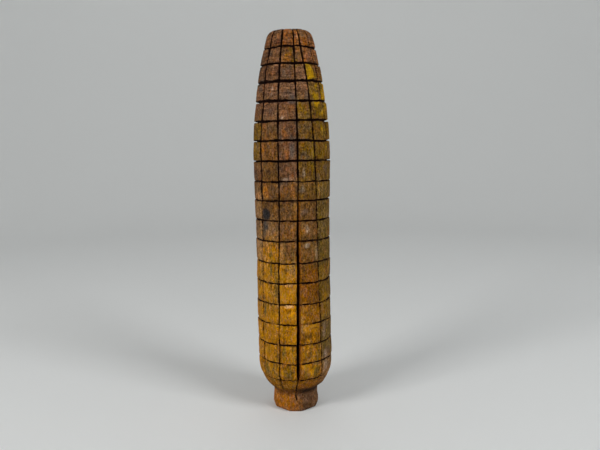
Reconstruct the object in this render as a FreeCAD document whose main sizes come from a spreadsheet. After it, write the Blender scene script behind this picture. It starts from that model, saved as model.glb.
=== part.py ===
import FreeCAD, Part
import math
import os

import Sketcher

# A carved ear of corn: one turned and whittled piece of wood, 254 mm tall. The kernels are what is left
# between saw kerfs: level ring kerfs, and long column kerfs that fan out a little from tip to shoulder.
# An old coat of paint is left on some kernels, as thin separate tiles that the kerfs cut apart.
# The frame: +Z up the ear, the origin at the centre of the foot's flat underside, and -Y the front.
# Angles are degrees about Z from the front, growing towards +X. Lengths are millimetres.

# The turned outline, from the underside of the foot up to the tip: (name, radius, height).
OUTLINE = (
    ("base", 14.6, 0.0),
    ("foot_rim", 15.4, 1.8),
    ("foot_flare", 15.35, 5.0),
    ("neck", 14.95, 11.0),
    ("neck_top", 15.2, 14.0),
    ("shoulder", 24.9, 35.0),
    ("waist", 24.65, 100.0),
    ("belly", 25.0, 168.0),
    ("crown", 15.1, 247.5),
    ("tip_edge", 12.6, 252.8),
    ("tip_centre", 0.0, 254.0),
)
# The outline's arcs: the corner an arc starts from, going up, and its radius. Other runs are straight.
OUTLINE_ARCS = {"neck_top": 27.6, "belly": 324.0, "crown": 8.5, "tip_edge": 66.8}

# The core that no kerf reaches. It rises past the outline at the shoulder, where the saw ran out.
CORE = (
    ("core_base", 20.0, 10.0),
    ("core_runout", 22.2, 22.5),
    ("core_shoulder", 23.3, 36.0),
    ("core_waist", 23.0, 100.0),
    ("core_belly", 22.9, 168.0),
    ("core_crown", 13.3, 247.5),
    ("core_tip", 10.4, 254.0),
    ("core_top", 10.4, 262.0),
)
CORE_ARCS = {"core_belly": 324.0}

# Ring kerfs from the tip down: height and width.
RINGS = (
    (241.8, 1.2),
    (231.2, 1.2),
    (220.2, 1.4),
    (207.9, 1.4),
    (195.5, 1.3),
    (183.0, 1.1),
    (170.1, 1.0),
    (157.0, 1.0),
    (144.9, 0.9),
    (132.1, 0.9),
    (118.8, 0.8),
    (104.3, 0.8),
    (91.2, 0.8),
    (77.2, 0.8),
    (63.8, 0.8),
    (49.9, 0.8),
    (37.1, 0.7),
    (25.5, 0.7),
)

# Column kerfs: the angle where each one crosses these four levels, from the tip down.
LEVELS = (("tip", 258.0), ("high", 226.0), ("mid", 150.0), ("low", 18.0))
COLUMNS = {
    "a": (-44.0, -50.5, -52.0, -57.0),
    "b": (-17.0, -19.8, -19.8, -25.0),
    "c": (11.0, 9.6, 9.3, 5.5),
    "d": (20.0, 30.5, 38.4, 46.0),
    "e": (45.0, 58.0, 77.5, 81.0),
    "f": (84.0, 93.0, 110.0, 114.0),
    "g": (121.0, 128.0, 141.0, 143.0),
    "h": (163.0, 167.0, 177.0, 175.0),
    "i": (199.0, 202.0, 208.0, 209.0),
    "j": (240.0, 239.0, 243.0, 238.0),
    "k": (275.0, 273.0, 275.0, 272.0),
}

# The drying check opens along column kerf c: height, angle, width at its mouth, and depth from there.
CHECK = (
    (23.0, 5.8, 1.4, 11.0),
    (40.0, 6.3, 2.4, 17.0),
    (90.0, 7.4, 2.6, 18.0),
    (125.0, 8.3, 2.1, 15.0),
    (160.0, 9.6, 0.6, 4.0),
)
# Below the shoulder it goes on as a fine crack in the neck. The mouth is well outside the wood here.
NECK_CHECK = (
    (6.0, 7.4, 0.6, 12.5),
    (11.0, 2.8, 1.2, 16.0),
    (16.0, 2.2, 1.2, 16.0),
    (23.5, 4.6, 0.8, 12.0),
)

# Other driving dimensions. The saw's blades reach from saw_inner out to saw_reach from the Z axis.
SIZES = {"saw_reach": 32.0, "saw_inner": 9.0, "column_kerf": 1.0, "paint_film": 0.2, "check_mouth": 27.0}

# Painted kernels: the column kerf on their lower-angle side, then the first and the last ring kerf
# that bound them. The columns on the hidden back and left side carry paint as the front does.
YELLOW_RUNS = (("c", 4, 7), ("d", 2, 9), ("h", 3, 6), ("i", 5, 8), ("j", 2, 4))
OCHRE_RUNS = (
    ("a", 12, 17),
    ("b", 13, 17),
    ("c", 13, 17),
    ("d", 13, 16),
    ("e", 12, 16),
    ("f", 13, 17),
    ("h", 12, 16),
    ("i", 13, 17),
    ("j", 12, 17),
    ("k", 12, 17),
)

doc = FreeCAD.newDocument("carved_ear_of_corn")
sheet = doc.addObject("Spreadsheet::Sheet", "dims")
values = {}


def cell(alias, value):
    """Puts one driving dimension into the sheet's next row, under an alias."""
    row = len(values) + 1
    sheet.set(f"A{row}", alias)
    sheet.set(f"B{row}", str(value))
    sheet.setAlias(f"B{row}", alias)
    values[alias] = value


def fill_sheet():
    for name, radius, height in OUTLINE + CORE:
        cell(f"{name}_radius", radius)
        cell(f"{name}_height", height)
    for name, radius in {**OUTLINE_ARCS, **CORE_ARCS}.items():
        cell(f"{name}_arc", radius)
    for number, (height, width) in enumerate(RINGS, 1):
        cell(f"ring_{number}_height", height)
        cell(f"ring_{number}_width", width)
    for level, height in LEVELS:
        cell(f"level_{level}", height)
    for letter, angles in COLUMNS.items():
        for (level, _), angle in zip(LEVELS, angles):
            cell(f"column_{letter}_{level}", angle)
    for prefix, stations in (("check", CHECK), ("neck_check", NECK_CHECK)):
        for number, (height, angle, width, depth) in enumerate(stations, 1):
            cell(f"{prefix}_{number}_height", height)
            cell(f"{prefix}_{number}_angle", angle)
            cell(f"{prefix}_{number}_width", width)
            cell(f"{prefix}_{number}_depth", depth)
    for alias, value in SIZES.items():
        cell(alias, value)
    doc.recompute()


# Sketches. A corner is (x, y), and each of these is (value, expression), with None for a fixed value.


def size(alias):
    return values[alias], f"dims.{alias}"


def half(alias, sign):
    return sign * values[alias] / 2, f"{sign} * dims.{alias} / 2"


def arc_between(start, end, radius, side):
    """The shorter arc between two points, bulging to the right of the way from start to end for side 1,
    and to the left for side -1. It always runs anticlockwise, as the sketcher keeps its arcs."""
    chord = end - start
    sagitta = radius - math.sqrt(radius**2 - (chord.Length / 2) ** 2)
    middle = (start + end) * 0.5 + FreeCAD.Vector(chord.y, -chord.x, 0).normalize() * sagitta * side
    return Part.Arc(start, middle, end) if side == 1 else Part.Arc(end, middle, start)


def draw(sketch, corners, arcs):
    """Draws a closed outline and ties it to the sheet. arcs maps the place of an arc's first corner to
    (radius, side), where the radius is a (value, expression) pair."""
    points = [FreeCAD.Vector(x[0], y[0], 0) for x, y in corners]
    runs = []
    for place, start in enumerate(points):
        end = points[(place + 1) % len(points)]
        if place in arcs:
            (radius, _), side = arcs[place]
            edge = sketch.addGeometry(arc_between(start, end, radius, side), False)
        else:
            edge = sketch.addGeometry(Part.LineSegment(start, end), False)
        forward = (sketch.Geometry[edge].StartPoint - start).Length < 1e-6
        runs.append((edge, 1, 2) if forward else (edge, 2, 1))
    for (edge, _, last), (following, first, _) in zip(runs, runs[1:] + runs[:1]):
        sketch.addConstraint(Sketcher.Constraint("Coincident", edge, last, following, first))
    for (edge, first, _), corner in zip(runs, corners):
        for kind, (value, expression) in zip(("DistanceX", "DistanceY"), corner):
            number = sketch.addConstraint(Sketcher.Constraint(kind, -1, 1, edge, first, value))
            if expression:
                sketch.setExpression(f"Constraints[{number}]", expression)
    for place, ((radius, expression), _) in arcs.items():
        number = sketch.addConstraint(Sketcher.Constraint("Radius", runs[place][0], radius))
        sketch.setExpression(f"Constraints[{number}]", expression)


def section(label, corners, height, angle=None):
    """A closed level sketch at a height, turned about Z if an angle is given. Both are aliases."""
    sketch = doc.addObject("Sketcher::SketchObject", label)
    draw(sketch, corners, {})
    sketch.setExpression("Placement.Base.z", f"dims.{height}")
    if angle:
        sketch.Placement.Rotation = FreeCAD.Rotation(FreeCAD.Vector(0, 0, 1), 1.0)
        sketch.setExpression("Placement.Rotation.Angle", f"dims.{angle}")
    return sketch


# Solids


def turn(label, corners, arcs):
    """A PartDesign body: an outline on the XZ plane, turned round the Z axis."""
    body = doc.addObject("PartDesign::Body", label)
    sketch = body.newObject("Sketcher::SketchObject", f"{label}_outline")
    plane = next(feature for feature in body.Origin.OriginFeatures if feature.Role == "XZ_Plane")
    sketch.AttachmentSupport = (plane, "")
    sketch.MapMode = "FlatFace"
    draw(sketch, corners, arcs)
    turning = body.newObject("PartDesign::Revolution", f"{label}_turning")
    turning.Profile = sketch
    turning.ReferenceAxis = (sketch, ["V_Axis"])
    turning.Angle = 360.0
    return body


def loft(label, sections):
    made = doc.addObject("Part::Loft", label)
    made.Sections = sections
    made.Solid = True
    made.Ruled = True
    return made


def fuse(label, shapes):
    made = doc.addObject("Part::MultiFuse", label)
    made.Shapes = shapes
    made.Refine = False
    return made


def common(label, shapes):
    made = doc.addObject("Part::MultiCommon", label)
    made.Shapes = shapes
    made.Refine = False
    return made


def cut(label, base, tool):
    made = doc.addObject("Part::Cut", label)
    made.Base = base
    made.Tool = tool
    made.Refine = False
    return made


# The turned shapes


def rising_run(rows, arcs):
    """The corners and arcs of an outline that rises along the +X side of the Z axis."""
    names = [name for name, _, _ in rows]
    corners = [(size(f"{name}_radius"), size(f"{name}_height")) for name in names]
    bends = {names.index(name): (size(f"{name}_arc"), 1) for name in arcs if name in names[:-1]}
    return corners, bends


def make_blank():
    """The turned blank: foot, neck, shoulder, body and rounded tip."""
    corners, bends = rising_run(OUTLINE, OUTLINE_ARCS)
    corners.append(((0.0, None), size("base_height")))
    return turn("blank", corners, bends)


def make_core():
    corners, bends = rising_run(CORE, CORE_ARCS)
    corners.append(((0.0, None), size("core_top_height")))
    corners.append(((0.0, None), size("core_base_height")))
    return turn("core", corners, bends)


def make_film():
    """The whole coat of paint, from the shoulder to the crown: the blank's outline and the same again,
    moved out by the film's thickness."""
    names = [name for name, _, _ in OUTLINE]
    rows = OUTLINE[names.index("shoulder") : names.index("crown") + 1]
    corners, bends = rising_run(rows, OUTLINE_ARCS)
    last = 2 * len(corners) - 1
    film = values["paint_film"]
    outside = [((x + film, f"{name} + dims.paint_film"), y) for (x, name), y in reversed(corners)]
    returning = {last - 1 - place: (radius, -side) for place, (radius, side) in bends.items()}
    return turn("film", corners + outside, {**bends, **returning})


# The saw


def ring_blades():
    blades = []
    for number in range(1, len(RINGS) + 1):
        blade = doc.addObject("Part::Cylinder", f"ring_blade_{number}")
        blade.setExpression("Radius", "dims.saw_reach")
        blade.setExpression("Height", f"dims.ring_{number}_width")
        middle = f"dims.ring_{number}_height - dims.ring_{number}_width / 2"
        blade.setExpression("Placement.Base.z", middle)
        blades.append(blade)
    return blades


def column_blades():
    """One long thin blade for each column kerf, through its angles at the four levels."""
    reach = (-values["saw_reach"], "-dims.saw_reach")
    inner = (-values["saw_inner"], "-dims.saw_inner")
    left, right = half("column_kerf", -1), half("column_kerf", 1)
    corners = [(left, reach), (right, reach), (right, inner), (left, inner)]
    blades = []
    for letter in COLUMNS:
        stations = [
            section(f"blade_{letter}_{level}", corners, f"level_{level}", f"column_{letter}_{level}")
            for level, _ in LEVELS
        ]
        blades.append(loft(f"column_blade_{letter}", stations))
    return blades


def make_check(prefix, rows):
    """A wedge-shaped drying check, widest at the surface and closing towards the heart of the wood."""
    mouth = (-values["check_mouth"], "-dims.check_mouth")
    stations = []
    for number in range(1, len(rows) + 1):
        name = f"{prefix}_{number}"
        left, right = half(f"{name}_width", -1), half(f"{name}_width", 1)
        depth, _ = size(f"{name}_depth")
        root = (depth + mouth[0], f"dims.{name}_depth - dims.check_mouth")
        corners = [(left, mouth), (right, mouth), ((0.0, None), root)]
        stations.append(section(f"{name}_section", corners, f"{name}_height", f"{name}_angle"))
    return loft(prefix, stations)


# The sub-parts


def make_carved_ear(blank, core, ring_saw, column_saw, checks):
    """The wood: the blank less every kerf, which stops at the core, and less the drying checks."""
    ringed = cut("ringed_blank", blank, cut("ring_kerfs", ring_saw, core))
    kernels = cut("kernels", ringed, cut("column_kerfs", column_saw, core))
    return cut("carved_ear", kernels, checks)


def column_sectors():
    """For each column, a wedge from the Z axis out past the surface, between its two kerfs."""
    sectors = {}
    letters = list(COLUMNS)
    reach = values["saw_reach"]
    for letter, following in zip(letters, letters[1:] + letters[:1]):
        stations = []
        for level, _ in LEVELS:
            corners = [((0.0, None), (0.0, None))]
            for side in (letter, following):
                alias = f"column_{side}_{level}"
                angle = math.radians(values[alias])
                x = (reach * math.sin(angle), f"dims.saw_reach * sin(dims.{alias} * 1 deg)")
                y = (-reach * math.cos(angle), f"-dims.saw_reach * cos(dims.{alias} * 1 deg)")
                corners.append((x, y))
            stations.append(section(f"sector_{letter}_{level}", corners, f"level_{level}"))
        sectors[letter] = loft(f"sector_{letter}", stations)
    return sectors


def make_paint(label, runs, film, sectors, ring_saw, column_saw, checks):
    """The film where a run of kernels kept it, cut into tiles by the same kerfs and checks."""
    patches = []
    for letter, first, last in runs:
        band = doc.addObject("Part::Cylinder", f"{label}_band_{letter}")
        band.setExpression("Radius", "dims.saw_reach")
        band.setExpression("Height", f"dims.ring_{first}_height - dims.ring_{last}_height")
        band.setExpression("Placement.Base.z", f"dims.ring_{last}_height")
        patches.append(common(f"{label}_patch_{letter}", [film, sectors[letter], band]))
    bands = cut(f"{label}_bands", fuse(f"{label}_patches", patches), ring_saw)
    tiles = cut(f"{label}_tiles", bands, column_saw)
    return cut(label, tiles, checks)


def check_document():
    """Stops if any object failed to compute."""
    for item in doc.Objects:
        if "Invalid" in item.State or "Error" in item.State:
            raise RuntimeError(f"{item.Label} failed: {item.State}")


def export(parts):
    """Checks each sub-part's shape and writes it to its STEP file."""
    os.makedirs("parts", exist_ok=True)
    for item in parts:
        shape = item.Shape
        if shape.isNull() or not shape.isValid():
            raise RuntimeError(f"{item.Label} has no valid shape")
        print(f"{item.Label}: {len(shape.Solids)} solids, {shape.Volume:.1f} mm3, {shape.BoundBox}")
        shape.exportStep(f"parts/{item.Label}.step")


fill_sheet()
blank = make_blank()
film = make_film()
checks = fuse("checks", [make_check("check", CHECK), make_check("neck_check", NECK_CHECK)])
cuts = (fuse("ring_saw", ring_blades()), fuse("column_saw", column_blades()), checks)
sectors = column_sectors()
ear = make_carved_ear(blank, make_core(), *cuts)
yellow = make_paint("yellow_paint", YELLOW_RUNS, film, sectors, *cuts)
ochre = make_paint("ochre_paint", OCHRE_RUNS, film, sectors, *cuts)
doc.recompute()
check_document()
export([ear, yellow, ochre])
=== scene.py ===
"""An ear of corn carved from one piece of wood, its kernels cut with a saw and its old paint worn.

The CAD model gives the frame: a turned body with ring and column kerfs. This script rebuilds its surface
as one closed mesh whose grid lines follow every kerf, with ragged edges, worn kernels, a deep drying
check and whittled facets on the foot, and then lays thin flakes of paint on the same surface. Tones,
stains, marks, painted shade down in the kerfs and under the shoulder, painted light on the drying
check's right wall and a painted highlight on one kernel are laid down point by point, and the materials
break them up.
Lengths are metres, apart from names that end in _MM or _mm and the grid, which are millimetres. Angles
are degrees from the front (-Y) towards +X.
"""

import math

import bpy
import numpy as np
from mathutils import Euler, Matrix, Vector


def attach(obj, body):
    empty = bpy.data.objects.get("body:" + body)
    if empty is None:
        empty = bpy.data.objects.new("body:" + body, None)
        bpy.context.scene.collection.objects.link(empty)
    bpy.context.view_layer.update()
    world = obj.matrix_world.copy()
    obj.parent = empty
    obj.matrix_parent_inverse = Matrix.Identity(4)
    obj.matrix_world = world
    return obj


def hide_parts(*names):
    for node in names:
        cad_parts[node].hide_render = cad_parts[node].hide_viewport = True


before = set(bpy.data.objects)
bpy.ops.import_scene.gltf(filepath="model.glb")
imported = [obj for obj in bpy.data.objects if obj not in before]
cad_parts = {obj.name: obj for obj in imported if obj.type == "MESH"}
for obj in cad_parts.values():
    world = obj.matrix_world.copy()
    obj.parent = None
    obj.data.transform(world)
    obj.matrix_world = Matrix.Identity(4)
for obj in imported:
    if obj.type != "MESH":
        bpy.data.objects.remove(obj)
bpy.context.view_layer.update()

MM = 0.001

# ---- the shape, as the CAD model has it

# The turned outline from the foot's rim to the crown: (height, radius) in mm.
OUTLINE_MM = (
    (0.0, 14.9),
    (1.8, 15.4),
    (5.0, 15.35),
    (9.0, 14.95),
    (11.0, 14.9),
    (13.0, 15.1),
)
SHOULDER_MM = (35.0, 24.9)  # height and radius where the shoulder's arc ends
SHOULDER_ARC_MM = 27.6
BELLY_MM = (168.0, 25.0)
CROWN_MM = (247.5, 15.1)
TAPER_ARC_MM = 324.0
WAIST_DIP_MM = 0.2  # how much slimmer the body is halfway from shoulder to belly
# The crown's rounded edge and the tip's top: (radius, height) in mm, from the outside in.
TIP_MM = (
    (15.1, 247.5),
    (14.2, 250.2),
    (13.0, 252.1),
    (11.2, 253.1),
    (8.0, 253.6),
    (4.0, 253.9),
    (0.0, 254.0),
)
NECK_TOP_MM = 14.5  # where the shoulder's arc takes over from the neck
OUTLINE_STEP_MM = 0.5
EAR_RADIUS_MM = 25.0

# Ring kerfs from the tip down: height and width in mm.
RINGS_MM = (
    (241.8, 1.0),
    (231.2, 1.15),
    (220.2, 1.45),
    (207.9, 1.35),
    (195.5, 1.2),
    (183.0, 1.0),
    (170.1, 0.85),
    (157.0, 0.85),
    (144.9, 0.8),
    (132.1, 0.9),
    (118.8, 0.95),
    (104.3, 0.9),
    (91.2, 0.85),
    (77.2, 0.8),
    (63.8, 0.75),
    (49.9, 0.8),
    (37.1, 0.75),
    (25.5, 0.6),
)

# Column kerfs: the angle at each of these heights, from the tip down, and the width there in mm.
LEVELS_MM = (258.0, 226.0, 150.0, 18.0)
COLUMNS = {
    "a": ((-44.0, -50.5, -52.0, -57.0), (1.1, 1.2, 0.9, 0.7)),
    "b": ((-17.0, -19.8, -19.8, -25.0), (1.0, 1.05, 0.95, 0.85)),
    "c": ((11.0, 9.6, 9.3, 5.5), (1.0, 1.0, 1.1, 1.0)),
    "d": ((20.0, 30.5, 38.4, 46.0), (1.1, 1.1, 0.85, 0.8)),
    "e": ((45.0, 58.0, 77.5, 81.0), (0.9, 1.0, 0.8, 0.7)),
    "f": ((84.0, 93.0, 110.0, 114.0), (1.1, 1.1, 0.9, 0.7)),
    "g": ((121.0, 128.0, 141.0, 143.0), (1.0, 1.1, 0.8, 0.7)),
    "h": ((163.0, 167.0, 177.0, 175.0), (1.2, 1.2, 0.9, 0.8)),
    "i": ((199.0, 202.0, 208.0, 209.0), (1.1, 1.0, 0.9, 0.7)),
    "j": ((240.0, 239.0, 243.0, 238.0), (1.2, 1.1, 0.8, 0.7)),
    "k": ((275.0, 273.0, 275.0, 272.0), (1.0, 1.1, 0.9, 0.7)),
}

# The drying check along column kerf c: height, width at the surface and depth, in mm.
CHECK_MM = (
    (22.5, 0.0, 0.0),
    (24.0, 1.4, 7.0),
    (28.0, 3.0, 12.0),
    (50.0, 2.9, 14.0),
    (90.0, 2.6, 15.0),
    (118.0, 2.4, 13.0),
    (140.0, 1.9, 8.0),
    (158.0, 0.0, 0.0),
)
# The fine crack in the neck that carries it on: height, angle, width and depth.
NECK_CHECK_MM = (
    (6.0, 8.0, 0.0, 0.0),
    (8.0, 3.0, 0.3, 0.8),
    (11.0, 0.4, 0.45, 2.5),
    (16.0, 1.6, 0.6, 4.0),
    (20.0, 2.2, 0.5, 4.5),
    (22.5, 3.4, 0.4, 3.0),
    (24.5, 5.4, 0.0, 0.0),
)

# A kerf's cross-section: side, how far outside the sawn edge (mm), and drop in mm, or None at the floor.
KERF_SECTION = (
    (-1, 0.60, 0.0),
    (-1, 0.20, 0.04),
    (-1, 0.00, 0.26),
    (-1, -0.10, None),
    (0, 0.00, None),
    (1, -0.10, None),
    (1, 0.00, 0.26),
    (1, 0.20, 0.04),
    (1, 0.60, 0.0),
)
# Where column kerfs run out on the shoulder and over the tip. Kerf b was sawn a little further down.
COLUMN_ENDS_MM = (21, 31)
LONG_COLUMN_ENDS_MM = (20.5, 26)
TIP_ENDS_MM = (252, 258)
KERF_REACH_MM = 1.1  # half a kerf with its shoulders
# How far the painted shade in a kerf reaches past its sawn edge: places in mm, and how dark each is.
KERF_SHADE_AT_MM = (-0.1, 0.0, 0.2, 0.6)
KERF_SHADE_THERE = (1.0, 0.8, 0.42, 0.1)
# The drying check's walls, as (share of half its mouth to the side, share of its depth). It leans: the
# left wall drops straight in, and the right one slopes, so it can be seen from in front.
CHECK_WALLS = (
    (-0.95, 0.14),
    (-0.88, 0.35),
    (-0.75, 0.70),
    (-0.45, 1.00),
    (-0.20, 0.75),
    (0.08, 0.40),
    (0.36, 0.19),
    (0.68, 0.09),
)
CHECK_OPENS_MM = (0.4, 1.3)

# The knife's facets round the foot: angle, distance from the axis at the underside (mm), and lean.
FOOT_FACETS = (
    (-4, 14.3, 0.35),
    (-43, 13.2, 0.75),
    (40, 13.8, 0.75),
    (-85, 13.7, 0.55),
    (82, 14.4, 0.5),
    (125, 13.2, 0.6),
    (165, 14.0, 0.4),
    (207, 13.0, 0.6),
    (240, 13.5, 0.5),
)

# Distances along the outline at which the tip's kernels end and the shoulder starts.
TOP_KERNELS_END_MM = 256.0
SHOULDER_START_MM = 14.0

GRID_FRONT_MM = 0.95
GRID_BACK_MM = 1.3
GRID_UP_MM = 0.88
LEAST_RADIUS_MM = 9.5  # nearer the axis, kerfs narrow towards it
FRONT_STRIPS = "kabcde"

# ---- the colours, kernel by kernel

# Tones in sRGB, 0 to 255, as they look in the studio light.
TONES = {
    "n": (92, 63, 42),
    "m": (100, 71, 50),
    "r": (115, 74, 44),
    "c": (108, 72, 38),
    "b": (98, 67, 35),
    "p": (88, 62, 27),
    "q": (91, 63, 34),
    "o": (101, 74, 28),
    "d": (94, 72, 34),
    "t": (114, 84, 54),
    "s": (136, 100, 62),
    "x": (106, 66, 24),
    "e": (125, 82, 26),
    "g": (137, 97, 42),
    "h": (152, 103, 36),
    "a": (144, 94, 20),
    "f": (152, 94, 36),
}
ALBEDO_GAIN = 1.25  # from a tone as it looks to the wood's own colour

# Colours of what lies on the wood or shows in it, and of the painted shade and light.
GREYED_WOOD = (84, 72, 62)
RUSTY_WOOD = (130, 80, 44)
CHARRED_WOOD = (52, 36, 24)
CHIPPED_WOOD = (158, 114, 72)
FAINT_YELLOW = (98, 74, 20)
STRONG_YELLOW = (134, 102, 14)
OCHRE_STAIN = (158, 108, 32)
GREENISH_DIRT = (84, 70, 36)
KERNEL_EDGE_DARK = (48, 32, 18)
FOOT_LEFT = (136, 86, 40)
FOOT_RIGHT = (88, 62, 42)
# Painted shade under the shoulder's overhang.
SHOULDER_PAINTED_SHADE = (34, 20, 11)
# Painted shade down in the kerfs: brown where shallow, near black where deep, and the black of its ragged
# edge.
KERF_SHADE_BROWN = (66, 30, 13)
KERF_SHADE_DARK = (20, 12, 8)
KERF_SHADE_BLACK = (29, 14, 8)
# Painted light on the drying check's right wall.
CHECK_WALL_PAINTED_LIGHT = (126, 76, 31)
YELLOW_PAINT = (146, 108, 4)
OCHRE_PAINT = (153, 103, 27)
PAINT_DIRT = (84, 66, 22)

# One row of kernels per line, from the tip down, then the shoulder and the foot. A column stands for the
# strip of kernels that follows a column kerf, in this order, so the first six letters face the front.
CHART_STRIPS = "kabcdefghij"
CHART = (
    "nnrrcrnrcrn",
    "nnccrrnrcrn",
    "nnnmccnnmrn",
    "nmmmmonmmrn",
    "nmnoponmomn",
    "oqnpponnomo",
    "ocnoponmooo",
    "nqnppoqcpom",
    "tbqpddtcotb",
    "tbqqddtcbtb",
    "ttcbddtbctt",
    "shcbddtcbgs",
    "ghgxodgxgge",
    "ggaxodgxagg",
    "hgaeodgeahg",
    "hhaeddheahh",
    "hhaedcheahh",
    "hgeetcgeegg",
    "eeexcceexee",
    "effbncbeffe",
)

FOOT_TONE_MM = 16.5  # the foot's tones end here

# Marks on single kernels, one of them a painted highlight: strip, row, centre across and up (-1 to 1), size
# across and up, tone, strength.
BLEMISHES = (
    ("a", 9, -0.42, -0.35, 0.5, 0.6, (40, 37, 36), 2.2),
    ("a", 10, -0.5, 0.5, 0.42, 0.6, (62, 54, 48), 1.3),
    ("a", 10, -0.75, -0.3, 0.3, 0.5, (70, 58, 46), 0.7),
    ("a", 8, -0.5, 0.0, 0.42, 0.7, (158, 98, 42), 0.75),
    ("a", 8, -0.38, -0.05, 0.16, 0.25, (92, 62, 38), 0.8),
    # A small painted highlight on the swirl in kernel a8.
    ("a", 8, -0.3, -0.55, 0.14, 0.14, (176, 132, 88), 0.7),
    ("a", 8, 0.35, 0.3, 0.35, 0.5, (82, 62, 44), 0.6),
    ("a", 6, -0.65, 0.0, 0.25, 0.6, (150, 96, 48), 0.75),
    ("k", 8, 0.5, -0.5, 0.5, 0.4, (158, 112, 70), 0.7),
    ("k", 9, 0.5, 0.0, 0.4, 0.9, (140, 104, 66), 0.6),
    ("b", 0, 0.0, 0.6, 0.6, 0.3, (128, 82, 50), 0.6),
    ("b", 0, 0.0, -0.7, 0.7, 0.25, (84, 48, 26), 0.6),
    ("a", 0, 0.2, -0.7, 0.5, 0.25, (88, 44, 22), 0.7),
    ("d", 0, -0.3, 0.5, 0.4, 0.35, (88, 72, 62), 0.7),
    ("d", 0, -0.3, -0.6, 0.6, 0.4, (128, 72, 30), 0.6),
    ("b", 1, -0.6, 0.2, 0.3, 0.6, (88, 68, 50), 0.6),
    ("b", 4, -0.5, -0.4, 0.5, 0.4, (138, 94, 62), 0.6),
    ("b", 4, -0.55, -0.7, 0.14, 0.14, (176, 150, 130), 0.9),
    ("b", 4, 0.55, 0.3, 0.3, 0.3, (140, 88, 48), 0.6),
    ("b", 4, 0.4, 0.85, 0.35, 0.18, (84, 74, 70), 0.7),
    ("b", 3, 0.6, -0.55, 0.25, 0.3, (70, 66, 66), 0.8),
    ("b", 5, -0.4, -0.2, 0.2, 0.9, (128, 80, 44), 0.6),
    ("b", 6, 0.45, 0.1, 0.28, 0.75, (84, 74, 66), 0.85),
    ("b", 6, -0.1, -0.2, 0.2, 0.7, (134, 82, 44), 0.6),
    ("b", 7, -0.1, -0.8, 0.6, 0.18, (124, 104, 90), 0.8),
    ("b", 8, 0.5, 0.0, 0.2, 0.9, (132, 84, 44), 0.6),
    ("b", 9, 0.7, 0.0, 0.2, 0.8, (136, 94, 44), 0.6),
    ("b", 11, -0.75, 0.0, 0.25, 0.9, (158, 112, 62), 0.75),
    ("b", 12, 0.35, 0.3, 0.35, 0.5, (116, 88, 64), 0.7),
    ("b", 12, -0.6, -0.5, 0.5, 0.5, (166, 114, 40), 0.6),
    ("b", 14, -0.1, 0.84, 0.55, 0.17, (204, 160, 114), 1.1),
    ("b", 13, -0.1, 0.86, 0.8, 0.16, (190, 142, 92), 0.9),
    ("a", 3, 0.26, 0.3, 0.11, 0.2, (178, 150, 132), 0.8),
    ("a", 3, 0.2, -0.3, 0.1, 0.18, (160, 130, 110), 0.75),
    ("c", 7, -0.35, -0.1, 0.14, 0.4, (136, 118, 98), 0.7),
    ("c", 8, -0.5, 0.3, 0.14, 0.4, (132, 112, 90), 0.6),
    ("c", 10, -0.15, 0.2, 0.14, 0.4, (154, 134, 112), 0.8),
    ("c", 11, -0.2, 0.6, 0.22, 0.22, (146, 128, 108), 0.7),
    ("c", 11, 0.75, -0.1, 0.14, 0.6, (146, 124, 98), 0.8),
    ("c", 14, -0.75, -0.5, 0.25, 0.5, (160, 122, 68), 0.7),
    ("c", 15, -0.5, 0.6, 0.5, 0.4, (134, 104, 74), 0.6),
    ("a", 11, 0.1, -0.2, 0.14, 0.4, (84, 72, 44), 0.7),
    ("a", 12, 0.1, 0.2, 0.22, 0.6, (94, 80, 42), 0.8),
    ("a", 13, -0.6, 0.0, 0.25, 0.9, (74, 70, 44), 1.0),
    ("a", 14, -0.6, 0.1, 0.25, 0.9, (76, 70, 44), 0.9),
    ("a", 14, 0.2, -0.2, 0.12, 0.7, (104, 80, 40), 0.7),
    ("a", 16, 0.0, 0.0, 0.12, 0.9, (98, 74, 34), 0.7),
    ("a", 17, -0.4, 0.1, 0.4, 0.7, (92, 76, 40), 0.8),
    ("b", 15, 0.5, 0.1, 0.2, 0.7, (96, 76, 32), 0.7),
    ("b", 16, 0.3, 0.0, 0.25, 0.9, (82, 68, 34), 0.9),
    ("b", 16, -0.5, 0.3, 0.2, 0.6, (92, 76, 36), 0.7),
    ("b", 17, 0.0, 0.0, 0.5, 0.9, (86, 68, 30), 0.85),
    ("c", 17, 0.4, 0.0, 0.3, 0.8, (92, 74, 34), 0.7),
    ("d", 17, 0.2, 0.2, 0.6, 0.8, (104, 78, 54), 0.5),
    ("d", 17, -0.5, 0.3, 0.3, 0.6, (138, 116, 98), 0.8),
    ("d", 16, -0.2, -0.3, 0.7, 0.7, (86, 64, 48), 0.7),
    ("d", 16, -0.45, -0.4, 0.25, 0.5, (130, 108, 92), 0.8),
    ("d", 15, -0.3, 0.6, 0.5, 0.4, (78, 62, 52), 0.6),
    ("d", 15, -0.6, 0.1, 0.2, 0.7, (124, 102, 84), 0.7),
)

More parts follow.
